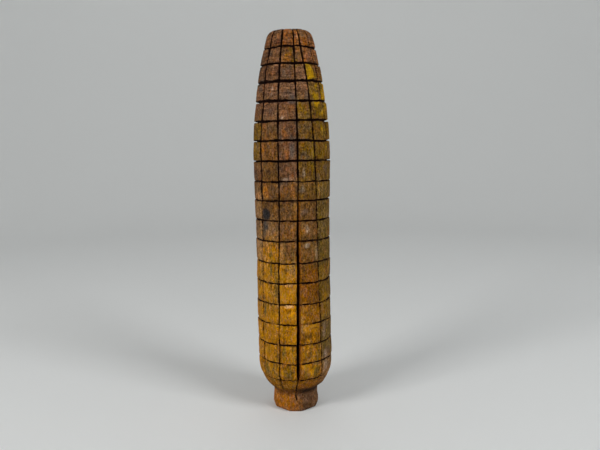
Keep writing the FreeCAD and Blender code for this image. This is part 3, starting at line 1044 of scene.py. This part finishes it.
def surface_points(grid):
    """The carved surface, in mm."""
    relief = kernel_relief(grid) + grain_relief(grid) + chip_off(grid)
    relief = relief * smooth_step(0.0, 2.0, grid.along)
    inward = grid.cut + relief
    radius = grid.radius - inward * grid.normal_r - whittled_foot(grid)
    underside = np.clip(1 - grid.along / -OUTLINE_MM[0][1], 0, 1)
    rim = radius[grid.rim]
    radius = np.where(grid.along < 0, rim * underside, radius)
    height = grid.height - inward * grid.normal_z
    return around(grid.angle, np.clip(radius, 0, None), height)


def add_mesh(name, points, faces, uvs=None):
    mesh = bpy.data.meshes.new(name)
    mesh.from_pydata(points, [], faces)
    mesh.update()
    piece = bpy.data.objects.new(name, mesh)
    bpy.context.scene.collection.objects.link(piece)
    if uvs is not None:
        layer = mesh.uv_layers.new(name="OFBake")
        layer.data.foreach_set("uv", np.asarray(uvs, dtype=np.float32).ravel())
    mesh.shade_smooth()
    return piece


def add_colours(piece, colours, shade_amount=0.0):
    """A tint for every point, with the kerfs' painted shade in its fourth channel."""
    layer = piece.data.color_attributes.new("tint", "FLOAT_COLOR", "POINT")
    flat = np.ones((len(piece.data.vertices), 4), dtype=np.float32)
    flat[:, :3] = colours
    flat[:, 3] = shade_amount
    layer.data.foreach_set("color", flat.ravel())


def spread(points, axis):
    """Places from 0 to 1 for the grid's lines, by the mean distance from each to the next."""
    if axis == 1:
        gaps = np.linalg.norm(np.roll(points, -1, axis=1) - points, axis=-1).mean(axis=0)
    else:
        gaps = np.linalg.norm(np.diff(points, axis=0), axis=-1).mean(axis=1)
    gaps = np.maximum(gaps, gaps.mean() * 0.3)
    return np.concatenate([[0], np.cumsum(gaps)]) / gaps.sum()


def ring_quads(rows, columns):
    """Faces between rings of points that are numbered ring by ring, with every point's number and the
    number of the point beside it."""
    index = np.arange(rows * columns).reshape(rows, columns)
    beside = np.roll(index, -1, axis=1)
    quads = np.stack([index[:-1], beside[:-1], beside[1:], index[1:]], axis=-1).reshape(-1, 4)
    return index, beside, quads


def square_uvs(u0, v0, u1, v1):
    return np.stack([u0, v0, u1, v0, u1, v1, u0, v1], axis=-1).reshape(-1, 2)


def make_ear(grid, points, colours):
    """One closed mesh: quads between the grid's lines, and a fan at each end."""
    inner = points[1:-1]
    rows, columns = inner.shape[:2]
    quads_shape = (rows - 1, columns)
    index, beside, quads = ring_quads(rows, columns)
    bottom, top = rows * columns, rows * columns + 1
    fans = [(bottom, int(b), int(a)) for a, b in zip(index[0], beside[0])]
    fans += [(top, int(a), int(b)) for a, b in zip(index[-1], beside[-1])]
    place_u = spread(points, 1)
    place_v = spread(points, 0)
    u0, u1 = (np.broadcast_to(part, quads_shape) for part in (place_u[:-1], place_u[1:]))
    v0, v1 = (np.broadcast_to(part[:, None], quads_shape) for part in (place_v[1:-2], place_v[2:-1]))
    uvs = square_uvs(u0, v0, u1, v1)
    middle = (place_u[:-1] + place_u[1:]) / 2
    low, high = place_v[1], place_v[-2]
    under = [((m, 0.0), (b, low), (a, low)) for m, a, b in zip(middle, place_u, place_u[1:])]
    over = [((m, 1.0), (a, high), (b, high)) for m, a, b in zip(middle, place_u, place_u[1:])]
    uvs = np.concatenate([uvs, np.array(under + over).reshape(-1, 2)])
    flat = np.concatenate([inner.reshape(-1, 3), points[0, :1], points[-1, :1]]) * MM
    piece = add_mesh("carved_ear_wood", flat, [*quads.tolist(), *fans], uvs)
    tints = np.concatenate([colours[1:-1].reshape(-1, 3), colours[0, :1], colours[-1, :1]])
    shade_amount = kerf_shade_reach(grid)[1:-1].ravel()
    add_colours(piece, tints, np.concatenate([shade_amount, (0.0, 0.0)]))
    return piece


FACE_SHARE = 0.97  # how much of a flake piece's bake its upper faces take
SUNK_MM = 0.12  # how far a flake's underside lies below the wood's surface


def flake_quads(sound):
    """The grid's squares that a flake covers: all four corners hold paint, and no two squares meet only
    at a corner."""
    quads = sound[:-1] & sound[1:]
    quads = quads & np.roll(quads, -1, axis=1)
    for _ in range(4):
        left = np.roll(quads, 1, axis=1)
        rising = left[:-1] & quads[1:] & ~quads[:-1] & ~left[1:]
        falling = quads[:-1] & left[1:] & ~left[:-1] & ~quads[1:]
        quads[1:] &= ~rising
        quads[:-1] &= ~falling
    return quads


def touched_points(quads):
    """Which grid points are a corner of a covered square."""
    above_or_below = np.pad(quads, ((0, 1), (0, 0))) | np.pad(quads, ((1, 0), (0, 0)))
    return above_or_below | np.roll(above_or_below, 1, axis=1)


def wall_faces(quads, number, count):
    """Faces from the flakes' upper edges to their lower ones, all round each flake."""
    closed = np.pad(quads, ((1, 1), (0, 0)))
    before = np.roll(quads, 1, axis=1)
    sides = (
        (closed[1:] & ~closed[:-1], (0, 1), (0, 0)),
        (closed[:-1] & ~closed[1:], (0, 0), (0, 1)),
        (quads & ~before, (0, 0), (1, 0)),
        (before & ~quads, (1, 0), (0, 0)),
    )
    faces = []
    for edges, *steps in sides:
        j, i = np.nonzero(edges)
        start, end = (number[j + up, (i + across) % number.shape[1]] for up, across in steps)
        faces.append(np.stack([start, end, end + count, start + count], axis=-1))
    return faces


def flake_uvs(points, j, i, others):
    """The upper faces at their places on the ear, and all the others in a narrow strip beside them."""
    place_u, place_v = spread(points, 1), spread(points, 0)
    low, high = place_v[j.min()], place_v[j.max() + 1]
    u0, u1 = place_u[i] * FACE_SHARE, place_u[i + 1] * FACE_SHARE
    v0, v1 = (place_v[j] - low) / (high - low), (place_v[j + 1] - low) / (high - low)
    strip = [(1.0, 0.0), (1.0, 1.0), (FACE_SHARE, 1.0), (FACE_SHARE, 0.0)]
    hidden = np.tile(strip, (others, 1)) * (1 - 0.002) + 0.001
    return np.concatenate([square_uvs(u0, v0, u1, v1), hidden])


def make_flakes(name, grid, points, left, thickness_mm, colours):
    """Thin closed plates of paint that lie on the wood wherever left is above 0. Their outlines reach out
    from the grid to where left would be 0."""
    quads = flake_quads(left > 0)
    used = touched_points(quads)
    edge = np.zeros_like(points)
    for axis, step in ((0, 1), (0, -1), (1, 1), (1, -1)):
        beyond = np.roll(left, step, axis=axis)
        share = np.clip(left / np.maximum(left - beyond, 1e-6), 0.0, 0.9) * 0.6
        share = np.where(used & (beyond <= 0) & (beyond > -0.9), share, 0.0)
        edge += (np.roll(points, step, axis=axis) - points) * share[..., None]
    outward = around(grid.angle, grid.normal_r, grid.normal_z)
    lift = thickness_mm * (0.35 + 0.65 * smooth_step(0.0, 0.3, left))
    top = points + edge + outward * lift[..., None]
    under = points + edge - outward * SUNK_MM
    number = np.cumsum(used.ravel()).reshape(used.shape) - 1
    count = int(used.sum())
    j, i = np.nonzero(quads)
    k = (i + 1) % left.shape[1]
    corners = np.stack([number[j, i], number[j, k], number[j + 1, k], number[j + 1, i]], axis=-1)
    faces = np.concatenate([corners, corners[:, ::-1] + count, *wall_faces(quads, number, count)])
    flat = np.concatenate([top[used], under[used]]) * MM
    piece = add_mesh(name, flat, faces.tolist(), flake_uvs(points, j, i, len(faces) - len(j)))
    add_colours(piece, np.tile(colours[used], (2, 1)))
    return piece


# ---- materials


def give(tree, socket, value):
    """Sets a socket, or links it to another node's output."""
    if isinstance(value, bpy.types.NodeSocket):
        tree.links.new(value, socket)
    else:
        socket.default_value = value


def add_node(tree, kind, **values):
    """A shader node. Values that name a socket are given to it, and the others set the node."""
    node = tree.nodes.new(kind)
    for name, value in values.items():
        socket = node.inputs.get(name.replace("_", " "))
        if socket is None:
            setattr(node, name, value)
        else:
            give(tree, socket, value)
    return node


def ranged(tree, value, start, end, low=0.0, high=1.0):
    """A value carried from the range start to end over to the range low to high."""
    limits = dict(From_Min=start, From_Max=end, To_Min=low, To_Max=high)
    return add_node(tree, "ShaderNodeMapRange", Value=value, **limits).outputs["Result"]


def noise_value(tree, place, scale, stretch, detail, low, high):
    """Noise along the ear's axes, stretched by (x, y, z) and scaled per metre, from low to high."""
    mapping = add_node(tree, "ShaderNodeMapping", Vector=place, Scale=[scale * part for part in stretch])
    settings = dict(Scale=1.0, Detail=detail, Roughness=0.6)
    texture = add_node(tree, "ShaderNodeTexNoise", Vector=mapping.outputs["Vector"], **settings)
    return ranged(tree, texture.outputs["Fac"], 0.25, 0.75, low, high)


def maths(tree, operation, first, second):
    node = add_node(tree, "ShaderNodeMath", operation=operation)
    for socket, value in zip(node.inputs, (first, second)):
        give(tree, socket, value)
    return node.outputs[0]


def mixed_value(tree, share, first, second):
    return add_node(tree, "ShaderNodeMix", Factor=share, A=first, B=second).outputs["Result"]


def fine_grain(tree, place, height, contrast):
    """Grain, specks and pores, each round about 1. Near the tip the grain is marked across the ear."""
    upright = noise_value(tree, place, 850, (1, 1, 0.25), 3.0, 1 - 0.7 * contrast, 1 + 0.7 * contrast)
    level = noise_value(tree, place, 850, (0.2, 0.2, 1.2), 3.0, 1 - 1.1 * contrast, 1 + 1.1 * contrast)
    near_tip = ranged(tree, height, *(at * MM for at in LEVEL_GRAIN_MM))
    speck = noise_value(tree, place, 900, (1, 1, 0.85), 4.0, 1 - 1.1 * contrast, 1 + 1.1 * contrast)
    pores = noise_value(tree, place, 1300, (1, 1, 0.7), 2.0, 1 - 1.2 * contrast, 1 + 1.7 * contrast)
    return mixed_value(tree, near_tip, upright, level), speck, maths(tree, "MINIMUM", pores, 1.12)


def varied_colour(tree, place, tint, tone):
    """The tint, made lighter or darker by the tone, and varied a little in hue and vividness."""
    scaled = add_node(tree, "ShaderNodeVectorMath", operation="SCALE", Scale=tone)
    tree.links.new(tint, scaled.inputs[0])
    vivid = noise_value(tree, place, 800, (1, 1, 0.4), 3.0, 0.86, 1.2)
    hue = noise_value(tree, place, 520, (1, 1, 0.6), 3.0, 0.489, 0.511)
    varied = dict(Color=scaled.outputs[0], Saturation=vivid, Hue=hue)
    return add_node(tree, "ShaderNodeHueSaturation", **varied).outputs["Color"]


def kerf_shaded_colour(tree, place, colour, shade_amount):
    """The colour, turned near black where the kerfs' painted shade is thick, with a ragged edge."""
    ragged = noise_value(tree, place, 640, (1, 1, 1), 3.0, -0.42, 0.42)
    black = ranged(tree, maths(tree, "ADD", shade_amount, ragged), 0.45, 0.62)
    mix = add_node(tree, "ShaderNodeMix", data_type="RGBA")
    for number, value in ((0, black), (6, colour), (7, (*(linear(KERF_SHADE_BLACK) * ALBEDO_GAIN), 1.0))):
        give(tree, mix.inputs[number], value)
    return mix.outputs[2]


WEATHERED_MM = (15, 130)  # the fine grain shows least at the foot, and fully from halfway up
LEAST_WEATHERED = 0.8


def surface_material(name, roughness, specular, contrast, bump_mm):
    """The tint laid down point by point, broken up by fine grain, specks and pores, with the same noises
    in its bump. The lower ear is smoother in tone than the weathered upper part."""
    material = bpy.data.materials.new(name)
    material.use_nodes = True
    tree = material.node_tree
    tree.nodes.clear()
    place = add_node(tree, "ShaderNodeTexCoord").outputs["Object"]
    height = add_node(tree, "ShaderNodeSeparateXYZ", Vector=place).outputs["Z"]
    tint = add_node(tree, "ShaderNodeVertexColor", layer_name="tint")
    grain, speck, pores = fine_grain(tree, place, height, contrast)
    tone = maths(tree, "MULTIPLY", maths(tree, "MULTIPLY", grain, speck), pores)
    weathered = ranged(tree, height, *(at * MM for at in WEATHERED_MM), LEAST_WEATHERED)
    tone = mixed_value(tree, weathered, 1.0, tone)
    colour = varied_colour(tree, place, tint.outputs["Color"], tone)
    # Painted shade in the kerfs, from the tint's fourth channel.
    colour = kerf_shaded_colour(tree, place, colour, tint.outputs["Alpha"])
    rough = noise_value(tree, place, 700, (1, 1, 0.5), 3.0, roughness - 0.1, roughness + 0.12)
    relief = maths(tree, "ADD", grain, maths(tree, "MULTIPLY", speck, 0.7))
    relief = maths(tree, "ADD", relief, maths(tree, "MULTIPLY", pores, 0.4))
    bump = add_node(tree, "ShaderNodeBump", Strength=1.0, Distance=bump_mm * MM, Height=relief)
    surface = dict(Base_Color=colour, Roughness=rough, Normal=bump.outputs["Normal"])
    shader = add_node(tree, "ShaderNodeBsdfPrincipled", Specular_IOR_Level=specular, **surface)
    add_node(tree, "ShaderNodeOutputMaterial", Surface=shader.outputs["BSDF"])
    return material


# ---- the studio

LENS_MM = 36.0
CAMERA_BACK_MM = 404.0
CAMERA_UP_MM = 179.6
CAMERA_PITCH = 7.51
CAMERA_YAW = 0.72
CAMERA_ROLL = -0.98
EAR_MIDDLE = (0.0, 0.0, 0.13)
SENSOR_MM = 36.0
# The paper sweep, in metres: the radius of its level floor, the radius of its curve, and its wall's height.
SWEEP_FLOOR = 0.9
SWEEP_CURVE = 0.8
SWEEP_WALL = 1.2
SWEEP_SIDES = 96
PAPER_COLOUR = (0.80, 0.81, 0.805, 1.0)
WORLD_COLOUR = (0.9, 0.92, 0.93, 1.0)
WORLD_STRENGTH = 0.14


def make_camera():
    camera = bpy.data.objects.new("studio_camera", bpy.data.cameras.new("studio_camera"))
    camera.data.sensor_width = SENSOR_MM
    camera.data.lens = LENS_MM
    camera.data.clip_start = 0.01
    camera.data.clip_end = 20.0
    camera.location = (0.0, -CAMERA_BACK_MM * MM, CAMERA_UP_MM * MM)
    aim = Euler((math.radians(90 - CAMERA_PITCH), 0.0, math.radians(-CAMERA_YAW)), "XYZ").to_matrix()
    roll = Euler((0.0, 0.0, math.radians(CAMERA_ROLL)), "XYZ").to_matrix()
    camera.rotation_euler = (aim @ roll).to_euler()
    bpy.context.scene.collection.objects.link(camera)
    bpy.context.scene.camera = camera


def make_sweep():
    """A round paper sweep: a level floor that curves up into a wall all round."""
    profile = [(SWEEP_FLOOR * share, 0.0) for share in (0.1, 0.25, 0.5, 0.75, 1.0)]
    for turn in np.radians(90 * np.arange(1, 17) / 16):
        profile.append((SWEEP_FLOOR + SWEEP_CURVE * np.sin(turn), SWEEP_CURVE * (1 - np.cos(turn))))
    profile.append((SWEEP_FLOOR + SWEEP_CURVE, SWEEP_CURVE + SWEEP_WALL))
    radius, height = np.array(profile).T[..., None]
    turns = 2 * np.pi * np.arange(SWEEP_SIDES) / SWEEP_SIDES
    rings = np.stack(np.broadcast_arrays(radius * np.cos(turns), radius * np.sin(turns), height), axis=-1)
    index, beside, quads = ring_quads(len(profile), SWEEP_SIDES)
    fan = [(0, 1 + int(a), 1 + int(b)) for a, b in zip(index[0], beside[0])]
    points = np.concatenate([[(0.0, 0.0, 0.0)], rings.reshape(-1, 3)])
    sweep = add_mesh("paper_sweep", points, [*fan, *(1 + quads[:, [0, 3, 2, 1]]).tolist()])
    material = bpy.data.materials.new("paper_sweep")
    material.use_nodes = True
    shader = material.node_tree.nodes["Principled BSDF"]
    shader.inputs["Base Color"].default_value = PAPER_COLOUR
    shader.inputs["Roughness"].default_value = 0.85
    shader.inputs["Specular IOR Level"].default_value = 0.2
    sweep.data.materials.append(material)


def add_softbox(name, place, target, size, power, colour):
    """A square soft light at a place, in metres, that faces a target."""
    light = bpy.data.lights.new(name, "AREA")
    light.shape = "RECTANGLE"
    light.size = size
    light.size_y = size
    light.energy = power
    light.color = colour
    lamp = bpy.data.objects.new(name, light)
    lamp.location = place
    lamp.rotation_euler = (Vector(target) - Vector(place)).to_track_quat("-Z", "Y").to_euler()
    lamp.visible_camera = False
    bpy.context.scene.collection.objects.link(lamp)


def beside(azimuth, elevation, distance):
    """A place round the middle of the ear, in metres."""
    turn, rise = math.radians(azimuth), math.radians(elevation)
    level = distance * math.cos(rise)
    return level * math.sin(turn), -level * math.cos(turn), EAR_MIDDLE[2] + distance * math.sin(rise)


def make_lights():
    left, right, behind = beside(-50, 29, 1.3), beside(50, 32, 1.3), (0.0, 0.75, 1.4)
    add_softbox("left_softbox", left, EAR_MIDDLE, size=0.45, power=7.7, colour=(1.0, 0.995, 0.985))
    add_softbox("right_softbox", right, EAR_MIDDLE, size=0.45, power=7.4, colour=(0.985, 0.995, 1.0))
    add_softbox("backdrop_softbox", behind, (0.0, 1.2, 0.2), size=0.8, power=2.0, colour=(1.0, 1.0, 1.0))
    world = bpy.data.worlds.new("studio")
    world.use_nodes = True
    background = world.node_tree.nodes["Background"]
    background.inputs["Color"].default_value = WORLD_COLOUR
    background.inputs["Strength"].default_value = WORLD_STRENGTH
    bpy.context.scene.world = world


# ---- making it all


# Each kind of surface: roughness, specular level, contrast of the fine grain, and bump in mm.
WOOD_SURFACE = (0.80, 0.06, 0.7, 0.26)
PAINT_SURFACE = (0.7, 0.08, 0.4, 0.12)
# Each coat of paint, named as its CAD node and slot: tone, how dirty it gets, and thickness in mm.
PAINTS = {
    "yellow_paint": (YELLOW_PAINT, 0.45, 0.14),
    "ochre_paint": (OCHRE_PAINT, 0.55, 0.10),
}


def finish_piece(piece, node, slot, surface):
    """Gives a piece its material, hides the CAD node that it stands for, and hangs it under the root. The
    ear is all one body.
    """
    piece.data.materials.append(surface_material(slot, *surface))
    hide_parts(node)
    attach(piece, "root")


def main():
    bpy.context.scene.view_settings.view_transform = "Standard"
    make_camera()
    make_sweep()
    make_lights()
    grid = Grid()
    points = surface_points(grid)
    left = {
        "yellow_paint": paint_left(grid, YELLOW_FLAKES, "yellow_streaks"),
        "ochre_paint": paint_left(grid, ochre_kernels(), "ochre_streaks"),
    }
    colours = wood_colours(grid, left["yellow_paint"], left["ochre_paint"])
    finish_piece(make_ear(grid, points, colours), "carved_ear", "weathered_wood", WOOD_SURFACE)
    for paint, (tone, dirtiest, thickness_mm) in PAINTS.items():
        tints = flake_colours(grid, tone, dirtiest)
        flakes = make_flakes(f"{paint}_flakes", grid, points, left[paint], thickness_mm, tints)
        finish_piece(flakes, paint, paint, PAINT_SURFACE)


main()
